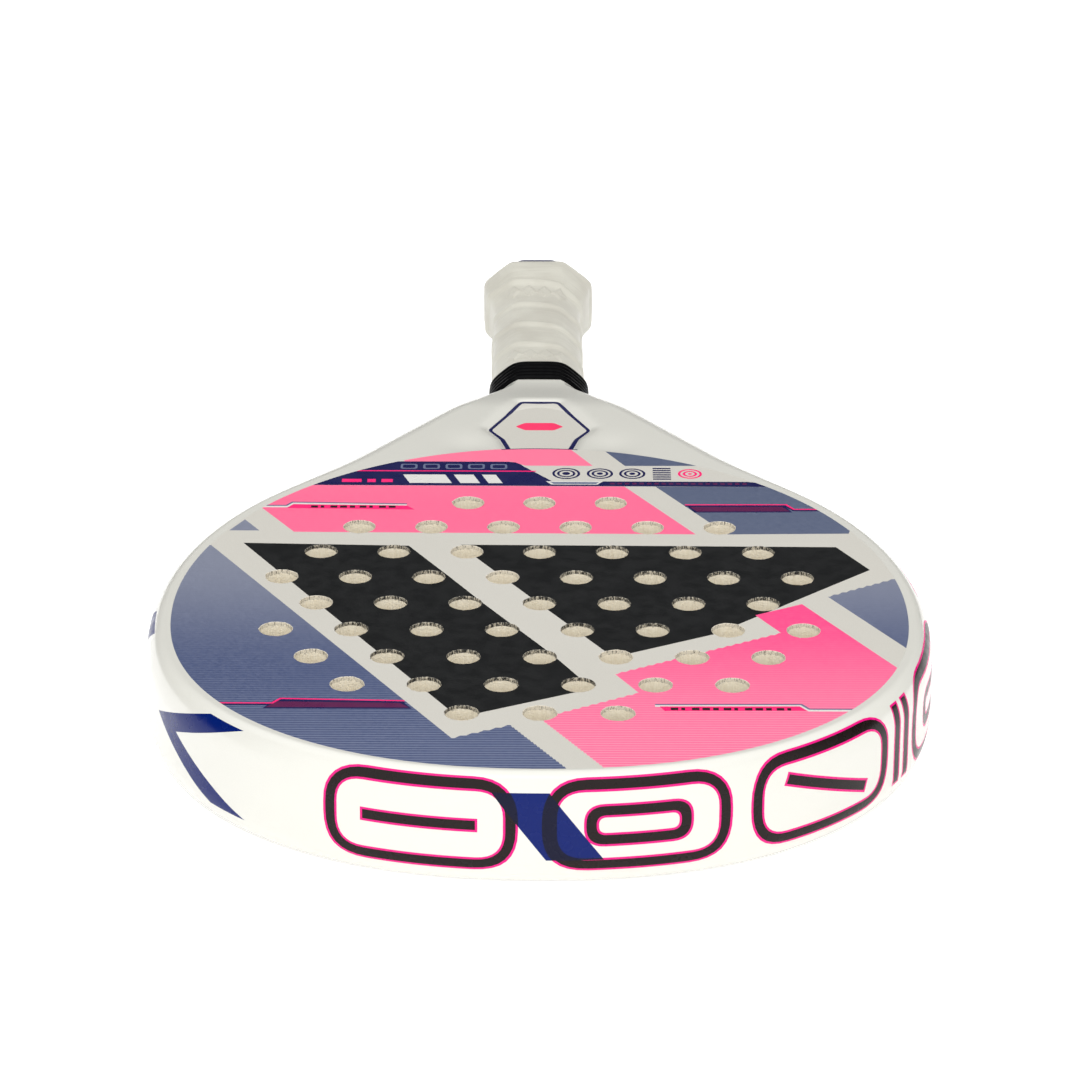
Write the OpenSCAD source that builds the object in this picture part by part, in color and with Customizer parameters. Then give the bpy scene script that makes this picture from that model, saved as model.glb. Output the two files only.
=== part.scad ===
// Padel racket: foam-cored perforated head in a moulded tube frame, closed throat, wrapped handle.
// Millimetres. The racket lies flat on its back face: +Z is the front face normal, the tip points
// to -Y and the butt of the handle to +Y. Origin: centre of the overall box, on its bottom.

/* [Head] */
// Thickness of the head
head_t = 38; // [34:0.5:42]
// Width of the head at its widest line
head_w = 258; // [215:1:310]
// Distance from the widest line to the tip
tip_l = 121.5; // [101:0.5:146]
// Distance from the widest line to the far edge of the face sheets
face_far_l = 138.2; // [115:0.1:146]
// Height above the widest line of the ellipse that carries the shoulders
shoulder_l = 148; // [140:1:165]
// Squareness of the tip half (2 is an ellipse)
tip_power = 2.2; // [2:0.05:2.5]
// Width of the rounded corner of the rim
rim_r = 6; // [4:0.5:6.5]
// Height of the rounded corner of the rim
rim_h = 11; // [6:0.5:14]
// Width of the rim outside the face sheets, at the sides
rim_margin = 8; // [6.5:0.1:10]
// Width of the rim outside the face sheets, at the tip
tip_margin = 6.5; // [6.5:0.1:10]

/* [Face and core] */
// Thickness of each laminated face sheet
skin_t = 1.2; // [0.8:0.1:2]
// Width of the ledge on which a face sheet is bonded to the frame
skin_lap = 6; // [4:0.5:8]
// Diameter of the air holes
hole_d = 10.8; // [9:0.1:13]
// Distance between neighbouring holes in a row
hole_pitch_x = 24.6; // [20:0.1:30]
// Distance between rows of holes
hole_pitch_y = 20.7; // [17:0.1:25]
// Distance of the middle row from the widest line, towards the handle
hole_row_offset = 7; // [0:1:12]
// Width of the solid border of the face at its sides, to the first hole centres
hole_border_x = 31; // [20:1:40]
// Width of the solid border of the face at its ends, to the first hole centres
hole_border_y = 34; // [20:1:42]

/* [Throat] */
// Length of the throat, from the face sheets to the collar
throat_l = 74.3; // [65:0.1:94]
// Wall of the moulded frame tube
frame_wall = 3; // [2:0.5:4]
// Width of the rounded corner on the arms
arm_r = 13; // [7:0.5:15]
// Height of the rounded corner on the arms
arm_h = 14; // [8:0.5:15]
// Half width of the heart panel at its widest corners
heart_half_w = 18; // [15:0.5:22]
// Half width of the heart panel at its handle end
heart_top_half_w = 7; // [5:0.5:10]
// Half width of the heart panel at the head end
heart_foot_half_w = 10.7; // [8:0.1:13]
// Solid length between the heart panel and the collar
heart_gap = 28.3; // [24:0.1:39]
// Distance of the heart's widest corners from its handle end
heart_corner_l = 26; // [18:1:30]
// Depth of the heart panel below the face
heart_recess = 1.5; // [0.8:0.1:3]
// Thickness of each heart panel
heart_plate_t = 1.5; // [1:0.1:3]

/* [Handle] */
// Length from the lower edge of the collar to the butt
handle_l = 120; // [96:1:140]
// Width of the wrapped handle at its neck
neck_w = 34.5; // [31:0.5:38]
// Thickness of the wrapped handle at its neck
neck_t = 30; // [27:0.5:34]
// Width of the flared butt
butt_w = 42.4; // [38:0.2:46]
// Thickness of the flared butt
butt_t = 36; // [32:0.5:40]
// Length of the full-size butt
butt_l = 3; // [2:1:42]
// Length of the flare between the neck and the butt
flare_l = 30; // [22:1:45]
// Corner cut of the eight-sided handle, as a share of its width
corner_share = 0.25; // [0.2:0.01:0.3]
// Thickness of the cushioned outer tape
tape_t = 1.6; // [1:0.1:2]
// Thickness of the base grip under it
base_t = 1; // [0.6:0.1:1.4]
// Wall of the rigid foam half shells round the frame stems
pallet_wall = 2.6; // [2:0.1:3.4]
// Wall of the frame stems
stem_wall = 2; // [1.5:0.1:2.5]
// Width of the spacer between the two stems
spacer_t = 2; // [1:0.5:4]

/* [Collar and butt cap] */
// Length of the rubber collar
collar_l = 16; // [12:0.5:20]
// Thickness of the rubber collar
collar_t = 1.1; // [0.8:0.1:2]
// Number of ribs round the collar
collar_ribs = 5; // [3:1:7]
// Depth of the grooves between the ribs
groove_d = 0.4; // [0.2:0.1:0.6]
// Thickness of the end wall of the butt cap
cap_end_t = 3; // [2:0.5:4]
// Length of the cap's skirt under the tapes
cap_skirt_l = 18; // [12:1:24]
// Wall of the skirt
cap_wall = 1.2; // [0.8:0.1:1.6]
// Diameter of the hole for the wrist cord
cord_hole_d = 6; // [4:0.5:8]
// Depth of the pocket for the knot of the cord
knot_pocket_l = 20; // [12:1:26]

/* [Hidden] */
eps = 0.01;
gap = 0.05;
mid_z = head_t / 2;
overall_l = tip_l + face_far_l + throat_l + handle_l;
tip_y = -overall_l / 2;
wide_y = tip_y + tip_l;
face_far_y = wide_y + face_far_l;
neck_y = face_far_y + throat_l;
butt_y = neck_y + handle_l;
face_half_w = head_w / 2 - rim_margin;
face_tip_l = tip_l - tip_margin;

// ---- outlines -------------------------------------------------------------------------------

// Point of a quarter of a superellipse, with t from 0 (side) to 90 (end)
function super_pt(a, b, n, t) = [a * pow(cos(t), 2 / n), b * pow(max(sin(t), 0), 2 / n)];
// Its outward direction
function super_dir(a, b, n, p) =
    let(gx = pow(abs(p[0]) / a, n - 1) / a, gy = pow(abs(p[1]) / b, n - 1) / b, g = norm([gx, gy]))
    [gx / g, gy / g];

// Closed egg outline of the face, made smaller all round by inset
quarter_steps = 30;
function egg(inset) =
    let(a = face_half_w - inset, low = face_tip_l - inset, high = face_far_l - inset, q = quarter_steps)
    concat(
        [for (i = [0 : q]) let(p = super_pt(a, low, tip_power, 90 - 90 * i / q))
            [p[0], wide_y - p[1]]],
        [for (i = [1 : q]) [a * cos(90 * i / q), wide_y + high * sin(90 * i / q)]],
        [for (i = [1 : q]) [-a * sin(90 * i / q), wide_y + high * cos(90 * i / q)]],
        [for (i = [1 : q - 1]) let(p = super_pt(a, low, tip_power, 90 * i / q))
            [-p[0], wide_y - p[1]]]
    );

// Stations along the right half of the outer outline, from the tip to the neck.
// Each station is [x, y, outward x, outward y].
side_a = head_w / 2;
neck_dy = neck_y - wide_y;
reach = norm([neck_w / 2 / side_a, neck_dy / shoulder_l]);
tangent_t = atan2(neck_dy / shoulder_l, neck_w / 2 / side_a) - acos(1 / reach);
tangent_p = [side_a * cos(tangent_t), wide_y + shoulder_l * sin(tangent_t)];
arm_dir = super_dir(side_a, shoulder_l, 2, [tangent_p[0], tangent_p[1] - wide_y]);
neck_end_y = neck_y + collar_l / 3;
tip_steps = 22;
shoulder_steps = 9;
arm_steps = 9;
stations = concat(
    [for (i = [0 : tip_steps])
        let(p = super_pt(side_a, tip_l, tip_power, 90 - 90 * i / tip_steps),
            d = super_dir(side_a, tip_l, tip_power, p))
        [i == 0 ? 0 : p[0], wide_y - p[1], i == 0 ? 0 : d[0], -d[1]]],
    [for (i = [1 : shoulder_steps])
        let(t = tangent_t * i / shoulder_steps,
            p = [side_a * cos(t), shoulder_l * sin(t)],
            d = super_dir(side_a, shoulder_l, 2, p))
        [p[0], wide_y + p[1], d[0], d[1]]],
    [for (i = [1 : arm_steps])
        let(f = i / arm_steps, last = i == arm_steps ? 0.5 : 0,
            d = [arm_dir[0] + last * (1 - arm_dir[0]), arm_dir[1] * (1 - last)])
        [tangent_p[0] + f * (neck_w / 2 - tangent_p[0]),
         tangent_p[1] + f * (neck_y - tangent_p[1]), d[0] / norm(d), d[1] / norm(d)]],
    [[neck_w / 2, neck_end_y, 1, 0]]
);
last_station = len(stations) - 1;

function ease(f) = let(c = min(max(f, 0), 1)) c * c * (3 - 2 * c);
// Half thickness of the body at y: full at the head, thinner at the neck
heart_top_y = neck_y - heart_gap;
decline_y = heart_top_y - 8;
function half_t(y) = let(f = ease((y - decline_y) / (neck_y - decline_y)))
    head_t / 2 + f * (neck_t - head_t) / 2;
// Corner radius at y, and how far the corner has turned into the flat cut of the handle
arm_blend_l = 50;
neck_blend_l = 30;
function arm_share(y) = ease((y - tangent_p[1]) / arm_blend_l);
function corner_w(y) = rim_r + arm_share(y) * (arm_r - rim_r);
function corner_h(y) = rim_h + arm_share(y) * (arm_h - rim_h);
function corner_cut(y) = ease((y - neck_y + neck_blend_l) / neck_blend_l);

// Ring of the outer outline at one level: angle is 90 on the front edge, 0 on the side wall
function ring_point(s, side, up, angle) =
    let(g = corner_cut(s[1]), f = angle / 90,
        u = (1 - g) * corner_w(s[1]) * (1 - cos(angle)) + g * neck_w * corner_share * f,
        v = (1 - g) * corner_h(s[1]) * (1 - sin(angle)) + g * neck_t * corner_share * (1 - f))
    [side * (s[0] - s[2] * u), s[1] - s[3] * u, mid_z + up * (half_t(s[1]) - v)];
function ring(up, angle) = concat(
    [for (i = [0 : last_station]) ring_point(stations[i], 1, up, angle)],
    [for (i = [last_station : -1 : 1]) ring_point(stations[i], -1, up, angle)]
);
corner_steps = 4;
ring_angles = concat(
    [for (k = [0 : corner_steps]) [-1, 90 - 90 * k / corner_steps]],
    [for (k = [0 : corner_steps]) [1, 90 * k / corner_steps]]
);
ring_n = 2 * last_station + 1;
function left_of(i) = i == 0 ? 0 : ring_n - i;

// Outer body of the frame: rounded rim, arms and neck in one closed solid
module outer_body() {
    levels = len(ring_angles);
    top = (levels - 1) * ring_n;
    points = [for (a = ring_angles) each ring(a[0], a[1])];
    sides = [for (k = [0 : levels - 2], j = [0 : ring_n - 1])
        let(a = k * ring_n, b = a + ring_n, n = (j + 1) % ring_n)
        each [[a + j, b + j, b + n], [a + j, b + n, a + n]]];
    bottom_cap = concat([[0, 1, left_of(1)]],
        [for (i = [1 : last_station - 1])
            each [[i, i + 1, left_of(i + 1)], [i, left_of(i + 1), left_of(i)]]]);
    top_cap = [for (f = bottom_cap) [top + f[2], top + f[1], top + f[0]]];
    polyhedron(points, concat(sides, bottom_cap, top_cap), convexity = 6);
}

// Heart outline in the throat, made larger all round by grow. Its foot runs under the face sheets.
heart_corner_y = heart_top_y - heart_corner_l;
module heart_2d(grow, foot_y) {
    polygon([
        [heart_top_half_w + grow / 2, heart_top_y + grow],
        [heart_half_w + grow, heart_corner_y],
        [heart_foot_half_w + grow, face_far_y - 1],
        [heart_foot_half_w + grow, foot_y],
        [-heart_foot_half_w - grow, foot_y],
        [-heart_foot_half_w - grow, face_far_y - 1],
        [-heart_half_w - grow, heart_corner_y],
        [-heart_top_half_w - grow / 2, heart_top_y + grow]
    ]);
}

module prism(z0, z1) {
    translate([0, 0, z0])
        linear_extrude(z1 - z0)
            children();
}

// Air holes: staggered rows that fill the face inside its solid border
zone_half_w = face_half_w - hole_border_x;
zone_tip_l = face_tip_l - hole_border_y;
zone_far_l = face_far_l - hole_border_y;
function in_zone(x, dy) = dy > 0
    ? pow(abs(x) / zone_half_w, 2) + pow(dy / zone_far_l, 2) < 1
    : pow(abs(x) / zone_half_w, tip_power) + pow(-dy / zone_tip_l, tip_power) < 1;
max_rows = ceil(face_far_l / hole_pitch_y);
max_columns = ceil(face_half_w / hole_pitch_x);
hole_places = [
    for (r = [-max_rows : max_rows], k = [-max_columns : max_columns])
        let(x = (k + (r % 2 == 0 ? 0 : 0.5)) * hole_pitch_x, dy = hole_row_offset + r * hole_pitch_y)
        if (in_zone(x, dy)) [x, wide_y + dy]
];
module air_holes(z0, z1) {
    for (p = hole_places)
        translate([p[0], p[1], z0])
            cylinder(d = hole_d, h = z1 - z0, $fn = 48);
}

// ---- eight-sided handle ---------------------------------------------------------------------

cap_y0 = butt_y - cap_end_t;
skirt_y0 = cap_y0 - cap_skirt_l;
staple_y = skirt_y0 + cap_skirt_l / 2;
flare_start_y = butt_y - butt_l - flare_l;
flare_steps = 5;
flare_ys = [for (i = [0 : flare_steps]) flare_start_y + flare_l * i / flare_steps];
// Every layer of the handle bends at these same heights, so that the layers nest
handle_levels = concat(
    [for (y = flare_ys) if (y < skirt_y0 - 1) y],
    [skirt_y0],
    [for (y = flare_ys) if (y > skirt_y0 + 1 && y < staple_y - 1) y],
    [staple_y],
    [for (y = flare_ys) if (y > staple_y + 1 && y < cap_y0 - 1) y],
    [cap_y0]
);
function flare(y) = ease((y - flare_start_y) / flare_l);
// Half width and half thickness of the wrapped handle at y
function handle_half(y) = [
    (neck_w + flare(y) * (butt_w - neck_w)) / 2,
    (neck_t + flare(y) * (butt_t - neck_t)) / 2
];
// A 45 degree corner cut gets shorter by this share of an inset
cut_share = 2 - sqrt(2);
function octagon(y, inset) =
    let(h = handle_half(y), w = h[0] - inset, t = h[1] - inset,
        cut_w = 2 * h[0] * corner_share - inset * cut_share,
        cut_t = 2 * h[1] * corner_share - inset * cut_share)
    [[w, t - cut_t], [w - cut_w, t], [cut_w - w, t], [-w, t - cut_t],
     [-w, cut_t - t], [cut_w - w, -t], [w - cut_w, -t], [w, cut_t - t]];

// Solid of the handle between two heights, run straight on past both ends by over
module handle_solid(y0, y1, inset, over = 0) {
    bends = concat([y0], [for (y = handle_levels) if (y > y0 + 1 && y < y1 - 1) y], [y1]);
    ys = over > 0 ? concat([y0 - over], bends, [y1 + over]) : bends;
    points = [for (y = ys) each
        [for (p = octagon(min(max(y, y0), y1), inset)) [p[0], y, mid_z + p[1]]]];
    n = 8;
    last = (len(ys) - 1) * n;
    faces = concat(
        [[for (j = [0 : n - 1]) n - 1 - j]],
        [for (k = [0 : len(ys) - 2], j = [0 : n - 1])
            let(a = k * n, b = a + n, m = (j + 1) % n)
            each [[a + j, a + m, b + m], [a + j, b + m, b + j]]],
        [[for (j = [0 : n - 1]) last + j]]
    );
    polyhedron(points, faces, convexity = 4);
}

module handle_sleeve(y0, y1, outer_inset, inner_inset) {
    difference() {
        handle_solid(y0, y1, outer_inset);
        handle_solid(y0, y1, inner_inset, 1);
    }
}

wrap_y0 = neck_end_y + gap;
pallet_inset = tape_t + base_t;
pallet_y1 = cap_y0 - gap;
stem_y1 = cap_y0 - knot_pocket_l;
stem_x0 = spacer_t / 2;
plug_l = 8;

// Section across both stems, made larger all round by grow
module stem_section(grow) {
    polygon(octagon(neck_y, pallet_inset + pallet_wall - grow));
}

// Extrudes a section of the handle from y0 to y1
module along_handle(y0, y1) {
    translate([0, y1, mid_z])
        rotate([90, 0, 0])
            linear_extrude(y1 - y0)
                children();
}

// The two separate stems between y0 and y1, with their section less inset
module stem_pair(y0, y1, inset) {
    along_handle(y0, y1)
        difference() {
            stem_section(-inset);
            square([2 * (stem_x0 + inset), butt_t], center = true);
        }
}

// ---- pieces ---------------------------------------------------------------------------------

// Hollow of the tube: follows the outer wall, the head window and the heart window
solid_neck_l = 14;
module frame_hollow() {
    inner = [for (s = stations) if (s[1] < neck_y - solid_neck_l)
        [max(s[0] - s[2] * frame_wall, 0), s[1] - s[3] * frame_wall]];
    low = (head_t - neck_t) / 2 + frame_wall;
    prism(low, head_t - low)
        difference() {
            polygon(concat(inner, [for (i = [len(inner) - 1 : -1 : 1]) [-inner[i][0], inner[i][1]]]));
            polygon(egg(skin_lap - frame_wall));
            heart_2d(frame_wall, face_far_y - 2 * skin_lap);
        }
}

module frame_tube() {
    color([0.95, 0.94, 0.92])
        difference() {
            union() {
                outer_body();
                difference() {
                    stem_pair(neck_end_y - 1, stem_y1, 0);
                    stem_pair(neck_end_y + frame_wall, stem_y1 + 1, stem_wall);
                }
            }
            prism(-1, head_t + 1)
                polygon(egg(skin_lap));
            prism(-1, skin_t)
                polygon(egg(0));
            prism(head_t - skin_t, head_t + 1)
                polygon(egg(0));
            prism(-1, head_t + 1)
                heart_2d(0, face_far_y - 2 * skin_lap);
            frame_hollow();
        }
}

// Arc that closes the head ring between the arms, under the face sheets
bridge_inset = 0.6;
module throat_bridge() {
    color([0.2, 0.2, 0.22])
        prism(skin_t, head_t - skin_t)
            intersection() {
                difference() {
                    polygon(egg(bridge_inset));
                    polygon(egg(skin_lap + gap));
                }
                translate([-heart_foot_half_w + gap, face_far_y - 2 * skin_lap])
                    square([2 * (heart_foot_half_w - gap), 2 * skin_lap]);
            }
}

module foam_core() {
    color([0.9, 0.87, 0.79])
        difference() {
            prism(skin_t, head_t - skin_t)
                polygon(egg(skin_lap + gap));
            air_holes(0, head_t);
        }
}

module face_sheet(z0) {
    difference() {
        prism(z0, z0 + skin_t)
            polygon(egg(gap));
        air_holes(z0 - 1, z0 + skin_t + 1);
    }
}

module front_skin() {
    color([0.82, 0.81, 0.79])
        face_sheet(head_t - skin_t);
}

module back_skin() {
    color([0.82, 0.81, 0.79])
        face_sheet(0);
}

// Outline of the panels and the core in the heart: they end at the bridge
heart_floor_z = head_t - heart_recess;
heart_inset = bridge_inset - 2 * gap;
module heart_fill_2d() {
    difference() {
        heart_2d(-gap, face_far_y - 2);
        polygon(egg(heart_inset));
    }
}

module heart_core() {
    color([0.9, 0.87, 0.79])
        prism(heart_recess + heart_plate_t, heart_floor_z - heart_plate_t)
            heart_fill_2d();
}

module heart_panel(z0) {
    prism(z0, z0 + heart_plate_t)
        heart_fill_2d();
}

module heart_panel_front() {
    color([0.8, 0.79, 0.76])
        heart_panel(heart_floor_z - heart_plate_t);
}

module heart_panel_back() {
    color([0.8, 0.79, 0.76])
        heart_panel(heart_recess);
}

module stem_spacer() {
    color([0.85, 0.8, 0.6])
        along_handle(neck_end_y + gap, stem_y1)
            intersection() {
                stem_section(0);
                square([spacer_t - 2 * gap, neck_t], center = true);
            }
}

module stem_plugs() {
    color([0.3, 0.3, 0.32])
        stem_pair(stem_y1 - plug_l, stem_y1, stem_wall + gap);
}

// Half of the handle: the eight-sided body less the channel for the stems
module pallet(up) {
    difference() {
        handle_solid(wrap_y0, pallet_y1, pallet_inset);
        handle_sleeve(skirt_y0 - gap, butt_y, pallet_inset - 2, pallet_inset + cap_wall + gap);
        along_handle(wrap_y0 - 1, butt_y)
            stem_section(gap);
        translate([-butt_w, wrap_y0 - 1, up > 0 ? mid_z - butt_t : mid_z])
            cube([2 * butt_w, handle_l + 2, butt_t]);
    }
}

module pallet_front() {
    color([0.75, 0.65, 0.35])
        pallet(1);
}

module pallet_back() {
    color([0.7, 0.6, 0.32])
        pallet(-1);
}

module base_grip() {
    color([0.12, 0.12, 0.12])
        handle_sleeve(wrap_y0, cap_y0 - gap, tape_t, pallet_inset);
}

module grip_tape() {
    color([0.8, 0.79, 0.74])
        handle_sleeve(wrap_y0, cap_y0 - gap, 0, tape_t);
}

// Sticky band that holds the end of the outer tape, under the collar
finish_t = 0.3;
module finishing_tape() {
    color([0.1, 0.1, 0.35])
        handle_sleeve(wrap_y0, neck_y + collar_l - 2, -finish_t, 0);
}

// Stretched rubber ring with ribs round it
groove_w = 0.8;
module grip_collar() {
    rib_pitch = collar_l / collar_ribs;
    seat = finish_t + gap;
    color([0.05, 0.05, 0.05])
        difference() {
            handle_solid(neck_y, neck_y + collar_l, -seat - collar_t);
            handle_solid(neck_y - 1, neck_y + collar_l + 1, -seat);
            for (i = [1 : collar_ribs - 1])
                handle_sleeve(neck_y + i * rib_pitch - groove_w / 2, neck_y + i * rib_pitch + groove_w / 2,
                    -seat - collar_t - 1, -seat - collar_t + groove_d);
        }
}

// End wall, a little smaller than the tape round it, and a skirt that grips the pallets
cap_step = 0.4;
module butt_cap() {
    color([0.1, 0.12, 0.35])
        difference() {
            union() {
                handle_solid(cap_y0, butt_y, cap_step);
                handle_sleeve(skirt_y0, cap_y0 + eps, pallet_inset, pallet_inset + cap_wall);
            }
            translate([0, butt_y + 1, mid_z])
                rotate([90, 0, 0])
                    cylinder(d = cord_hole_d, h = cap_end_t + 2, $fn = 48);
        }
}

// Two wire staples through the skirt into the pallets
staple_w = 9;
staple_wire = 0.8;
staple_leg = 4;
module staple(up) {
    y = staple_y;
    face = handle_half(y)[1] - pallet_inset - staple_wire;
    for (x = [-staple_w / 2, staple_w / 2 - staple_wire])
        translate([x, y, up > 0 ? mid_z + face - staple_leg : mid_z - face])
            cube([staple_wire, staple_wire, staple_leg]);
    translate([-staple_w / 2, y, up > 0 ? mid_z + face : mid_z - face - staple_wire])
        cube([staple_w, staple_wire, staple_wire]);
}

module cap_staples() {
    color([0.7, 0.7, 0.72])
        for (up = [-1, 1])
            staple(up);
}

frame_tube();
throat_bridge();
foam_core();
front_skin();
back_skin();
heart_core();
heart_panel_front();
heart_panel_back();
stem_spacer();
stem_plugs();
pallet_front();
pallet_back();
base_grip();
grip_tape();
finishing_tape();
grip_collar();
butt_cap();
cap_staples();
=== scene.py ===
"""Looks of the padel racket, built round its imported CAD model. Lengths in the helpers are millimetres."""

import math

import bpy
import numpy as np
from mathutils import Matrix, Vector
from mathutils.geometry import delaunay_2d_cdt


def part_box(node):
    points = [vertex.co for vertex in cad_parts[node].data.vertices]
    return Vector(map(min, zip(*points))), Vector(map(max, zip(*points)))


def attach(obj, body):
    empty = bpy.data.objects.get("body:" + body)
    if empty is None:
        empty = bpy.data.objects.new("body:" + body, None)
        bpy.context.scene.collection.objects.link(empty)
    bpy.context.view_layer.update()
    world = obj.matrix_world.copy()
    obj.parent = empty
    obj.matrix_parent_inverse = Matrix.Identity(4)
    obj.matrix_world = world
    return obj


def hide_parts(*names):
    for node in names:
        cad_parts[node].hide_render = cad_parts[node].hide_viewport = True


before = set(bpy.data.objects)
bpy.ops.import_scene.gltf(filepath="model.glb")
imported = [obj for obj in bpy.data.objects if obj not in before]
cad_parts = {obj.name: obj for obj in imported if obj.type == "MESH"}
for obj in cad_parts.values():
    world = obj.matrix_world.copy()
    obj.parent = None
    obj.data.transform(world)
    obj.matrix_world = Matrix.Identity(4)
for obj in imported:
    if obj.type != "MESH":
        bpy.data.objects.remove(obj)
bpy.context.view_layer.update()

MM = 0.001


def mm_box(node):
    """Lowest and highest corner of a CAD node in millimetres."""
    lo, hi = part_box(node)
    return np.array(lo) / MM, np.array(hi) / MM


# ---- main sizes, from the CAD boxes ----
FRAME_LO, FRAME_HI = mm_box("frame_tube")
SKIN_LO, _ = mm_box("front_skin")
PANEL_LO, PANEL_HI = mm_box("heart_panel_front")
GRIP_LO, GRIP_HI = mm_box("grip_tape")
COLLAR_LO, COLLAR_HI = mm_box("grip_collar")
CAP_LO, CAP_HI = mm_box("butt_cap")
HEAD_T = FRAME_HI[2]
MID_Z = HEAD_T / 2
HEAD_A = FRAME_HI[0]
TIP_Y = FRAME_LO[1]
NECK_Y = COLLAR_LO[1]
COLLAR_L = COLLAR_HI[1] - COLLAR_LO[1]
BUTT_Y = CAP_HI[1]
TIP_L = 121.5
WIDE_Y = TIP_Y + TIP_L
SHOULDER_L = 148.0
TIP_POWER = 2.2
FACE_A = HEAD_A - 8.0
FACE_TIP_L = TIP_L - 6.5
FACE_FAR_L = 138.2
FACE_FAR_Y = WIDE_Y + FACE_FAR_L
SKIN_T = HEAD_T - SKIN_LO[2]
NECK_W, NECK_T = 34.5, 30.0
BUTT_W, BUTT_T = GRIP_HI[0] - GRIP_LO[0], GRIP_HI[2] - GRIP_LO[2]
CORNER_SHARE = 0.25
FLARE_L, BUTT_L = 30.0, 3.0
CORD_R = 3.0
CAP_LEAN = 0.7
RIM_R, RIM_H, ARM_R, ARM_H = 6.0, 11.0, 13.0, 14.0
ARM_BLEND, NECK_BLEND = 50.0, 30.0
HOLE_R, PITCH_X, PITCH_Y = 5.4, 24.6, 20.7
ROWS_Y = WIDE_Y + 7.0
ROW_COUNTS = (3, 6, 7, 8, 7, 8, 7, 6, 3)
HEART_TOP_Y = NECK_Y - 28.3
HEART_CORNER_Y = HEART_TOP_Y - 26.0
HEART_W, HEART_TOP_W, HEART_FOOT_W = 18.0, 7.0, 10.7
DECLINE_Y = HEART_TOP_Y - 8.0


def ease(f):
    c = np.clip(f, 0.0, 1.0)
    return c * c * (3 - 2 * c)


def hash01(n, seed=0.0):
    """Repeatable scatter from 0 to 1."""
    return (np.sin(np.asarray(n, float) * 12.9898 + seed * 78.233) * 43758.5453) % 1.0


# ---- materials ----
class Mat:
    """A node material: small helpers keep each recipe short."""

    def __init__(self, name, rough=0.4, **sockets):
        self.m = bpy.data.materials.new(name)
        self.m.use_nodes = True
        self.t = self.m.node_tree
        self.b = self.t.nodes["Principled BSDF"]
        self.b.inputs["Roughness"].default_value = rough
        for key, value in sockets.items():
            self.b.inputs[key.replace("_", " ")].default_value = value
        self.coord = None

    def node(self, kind, **values):
        n = self.t.nodes.new(kind)
        for key, value in values.items():
            setattr(n, key, value)
        return n

    def link(self, a, b):
        self.t.links.new(a, b)

    def put(self, socket, value):
        if hasattr(value, "is_output"):
            self.link(value, socket)
        else:
            socket.default_value = value

    def pos(self, scale=(1, 1, 1)):
        """Object coordinates in millimetres, scaled per axis."""
        if self.coord is None:
            self.coord = self.node("ShaderNodeTexCoord").outputs["Object"]
        m = self.node("ShaderNodeMapping")
        m.inputs["Scale"].default_value = [s / MM for s in scale]
        self.link(self.coord, m.inputs["Vector"])
        return m.outputs["Vector"]

    def axis(self, letter):
        s = self.node("ShaderNodeSeparateXYZ")
        self.link(self.pos(), s.inputs[0])
        return s.outputs["XYZ".index(letter)]

    def noise(self, size, detail=3.0, stretch=(1, 1, 1), rough=0.5):
        """Noise whose features are about size millimetres across."""
        n = self.node("ShaderNodeTexNoise")
        self.link(self.pos([s / size for s in stretch]), n.inputs["Vector"])
        n.inputs["Scale"].default_value = 1.0
        n.inputs["Detail"].default_value = detail
        n.inputs["Roughness"].default_value = rough
        return n.outputs["Fac"]

    def cells(self, size):
        n = self.node("ShaderNodeTexVoronoi", feature="F1")
        self.link(self.pos([1 / size] * 3), n.inputs["Vector"])
        n.inputs["Scale"].default_value = 1.0
        return n.outputs["Distance"]

    def math(self, op, a, b=0.0):
        n = self.node("ShaderNodeMath", operation=op)
        self.put(n.inputs[0], a)
        self.put(n.inputs[1], b)
        return n.outputs[0]

    def ramp(self, value, lo, hi, out_lo=0.0, out_hi=1.0):
        n = self.node("ShaderNodeMapRange", interpolation_type="SMOOTHSTEP")
        self.put(n.inputs["Value"], value)
        self.put(n.inputs["From Min"], lo)
        self.put(n.inputs["From Max"], hi)
        self.put(n.inputs["To Min"], out_lo)
        self.put(n.inputs["To Max"], out_hi)
        return n.outputs["Result"]

    def mix(self, fac, a, b):
        n = self.node("ShaderNodeMix", data_type="RGBA")
        self.put(n.inputs["Factor"], fac)
        self.put(n.inputs["A"], a)
        self.put(n.inputs["B"], b)
        return n.outputs["Result"]

    def color(self, value):
        self.put(self.b.inputs["Base Color"], value)

    def roughness(self, value):
        self.put(self.b.inputs["Roughness"], value)

    def bump(self, height, strength, distance):
        n = self.node("ShaderNodeBump")
        n.inputs["Strength"].default_value = strength
        n.inputs["Distance"].default_value = distance * MM
        self.put(n.inputs["Height"], height)
        if self.b.inputs["Normal"].is_linked:
            self.link(self.b.inputs["Normal"].links[0].from_socket, n.inputs["Normal"])
        self.link(n.outputs["Normal"], self.b.inputs["Normal"])


def rgb(r, g, b):
    """Linear colour from 0-255 screen values."""
    def lin(c):
        c /= 255.0
        return c / 12.92 if c <= 0.04045 else ((c + 0.055) / 1.055) ** 2.4
    return lin(r), lin(g), lin(b), 1.0


PEARL = rgb(209, 206, 197)
PEARL_DARK = rgb(201, 198, 188)


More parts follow.
